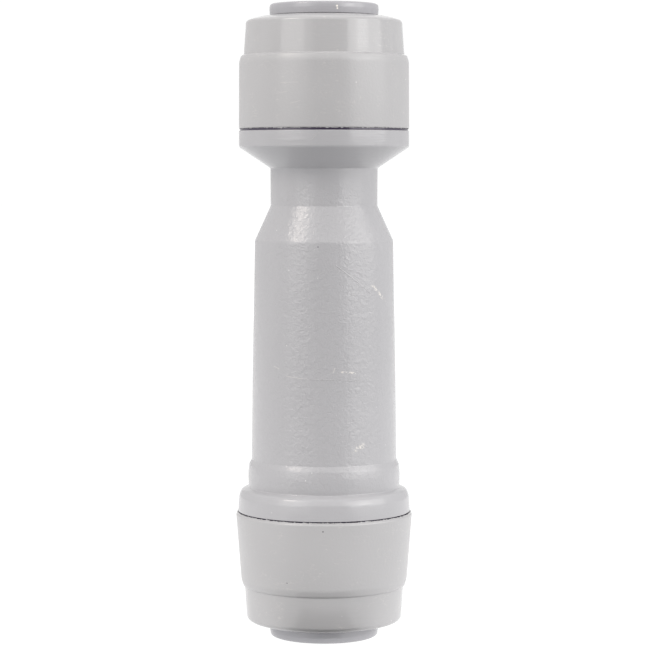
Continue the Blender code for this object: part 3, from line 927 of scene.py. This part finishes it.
def build_cartridge(materials):
    """The check inside the barrel: seat, cage, poppet, spring and seals."""
    seat = turned("seat_ring", smoothed(section("cartridge_seat")), SEGMENTS_SMALL)
    add_piece("seat_ring", seat, materials["insert"], "housing", "insert_plastic", "cartridge_seat")
    add_piece("cartridge_seal_ring", seal_mesh("cartridge_seal"), materials["rubber"], "housing",
              "seal_rubber", "cartridge_seal")
    add_piece("cage_cup", cage_mesh(), materials["insert"], "housing", "insert_plastic", "cartridge_cage")
    outline = smoothed(section("poppet"), closed=False)
    stem = turned("poppet_and_stem", outline, SEGMENTS_SMALL, closed=False)
    add_piece("poppet_and_stem", stem, materials["poppet"], "poppet_unit", "poppet_plastic", "poppet")
    add_piece("poppet_seal_ring", seal_mesh("poppet_seal"), materials["rubber"], "poppet_unit",
              "seal_rubber", "poppet_seal")
    spring = add_piece("poppet_spring_wire", spring_mesh(), materials["steel"], "housing", "spring_steel",
                       "poppet_spring")
    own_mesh(spring)


def build_valve():
    """Every piece of the valve."""
    materials = {
        "body": body_plastic(),
        "cap": cap_plastic(),
        "collet": collet_plastic(),
        "insert": insert_plastic("insert_plastic", (0.70, 0.69, 0.66)),
        "poppet": insert_plastic("poppet_plastic", (0.76, 0.76, 0.75)),
        "rubber": seal_rubber(),
        "steel": spring_steel(),
    }
    add_piece("valve_body_shell", valve_body_mesh(), materials["body"], "housing", "body_plastic",
              "valve_body")
    add_piece("outlet_body_shell", outlet_body_mesh(), materials["body"], "housing", "body_plastic",
              "outlet_body")
    for side in SIDES:
        build_port(side, materials)
    build_cartridge(materials)


# Studio.

def stage_material(name, colour, roughness, **sockets):
    """A plain material of the studio, with a slight unevenness."""
    nodes = Nodes(name, colour, roughness, **sockets)
    return nodes.surface(nodes.bump(nodes.noise(size=3.0), depth=0.02))


def add_panel(name, corners, material):
    """A flat four-cornered sheet of the studio, which isn't part of the valve."""
    mesh = bpy.data.meshes.new(name)
    mesh.from_pydata(corners, [], [range(4)])
    mesh.materials.append(material)
    panel = bpy.data.objects.new(name, mesh)
    bpy.context.scene.collection.objects.link(panel)
    return panel


def towards_valve(azimuth, elevation):
    """The place in the studio at those angles from the front, and the turn that faces the valve."""
    swing, rise = math.radians(azimuth), math.radians(elevation)
    way = Vector((math.cos(rise) * math.sin(swing), -math.cos(rise) * math.cos(swing), math.sin(rise)))
    place = (cad_box[0] + cad_box[1]) / 2 + STUDIO_R * way
    return place, (-way).to_track_quat("-Z", "Y").to_matrix()


def add_softbox(name, azimuth, elevation, size, radiance, tint):
    """An area light that the camera doesn't see."""
    light = bpy.data.lights.new(name, "AREA")
    light.shape = "RECTANGLE"
    light.size, light.size_y = size
    light.color = tint
    light.energy = radiance * math.pi * size[0] * size[1]
    made = bpy.data.objects.new(name, light)
    bpy.context.scene.collection.objects.link(made)
    made.location, turn = towards_valve(azimuth, elevation)
    made.rotation_euler = turn.to_euler()
    made.visible_camera = False


def add_card(name, azimuth, elevation, size, material):
    """A card that the camera doesn't see, which holds some of the white room's light off the valve."""
    place, turn = towards_valve(azimuth, elevation)
    half_width, half_height = size[0] / 2, size[1] / 2
    sides = ((-1, -1), (1, -1), (1, 1), (-1, 1))
    corners = [place + turn @ Vector((x * half_width, y * half_height, 0)) for x, y in sides]
    add_panel(name, corners, material).visible_camera = False


def add_floor_card(name, edges, height, material):
    """A card that the camera doesn't see, which lies in front of the valve and covers some bright floor."""
    near, far, narrow, wide = edges
    outline = ((-narrow, -near), (-wide, -far), (wide, -far), (narrow, -near))
    add_panel(name, [(x, y, height) for x, y in outline], material).visible_camera = False


def build_world():
    world = bpy.data.worlds.new("studio")
    world.use_nodes = True
    sky = world.node_tree.nodes["Background"]
    sky.inputs["Color"].default_value = (1.0, 1.0, 1.0, 1.0)
    sky.inputs["Strength"].default_value = WORLD_GLOW
    bpy.context.scene.world = world
    bpy.context.scene.view_settings.view_transform = "Standard"


def build_studio():
    """White floor and room, cards and soft lights."""
    ground = cad_box[0].z - FLOOR_DROP
    paint = stage_material("floor_paint", (0.05, 0.05, 0.05), 0.8, Emission_Strength=FLOOR_GLOW)
    reach = FLOOR_REACH
    outline = ((-reach, -reach), (reach, -reach), (reach, reach), (-reach, reach))
    add_panel("floor", [(x, y, ground) for x, y in outline], paint)
    felt = stage_material("flag_felt", (0.01, 0.01, 0.01), 0.9)
    grey = stage_material("flag_card", (0.2, 0.2, 0.2), 0.9, Emission_Strength=CARD_GLOW)
    for material, cards in ((felt, BLACK_CARDS), (grey, GREY_CARDS)):
        for name, (azimuth, elevation, size) in cards.items():
            add_card(name, azimuth, elevation, size, material)
    for name, edges in FLOOR_CARDS.items():
        add_floor_card(name, edges, ground + CARD_LIFT, felt)
    for name, settings in SOFTBOXES.items():
        add_softbox(name, *settings)
    build_world()


def build_camera():
    """The camera, level with the valve's upper half and pitched slightly down."""
    lens = bpy.data.cameras.new("camera")
    lens.lens = LENS
    lens.sensor_width = SENSOR_WIDTH
    lens.clip_start = CLIP_START
    made = bpy.data.objects.new("camera", lens)
    bpy.context.scene.collection.objects.link(made)
    made.location = Vector((CAMERA_ASIDE, -CAMERA_DISTANCE, CAMERA_HEIGHT)) * MM
    made.rotation_euler = (math.pi / 2 - CAMERA_PITCH, 0, 0)
    bpy.context.scene.camera = made


build_camera()
build_valve()
build_studio()
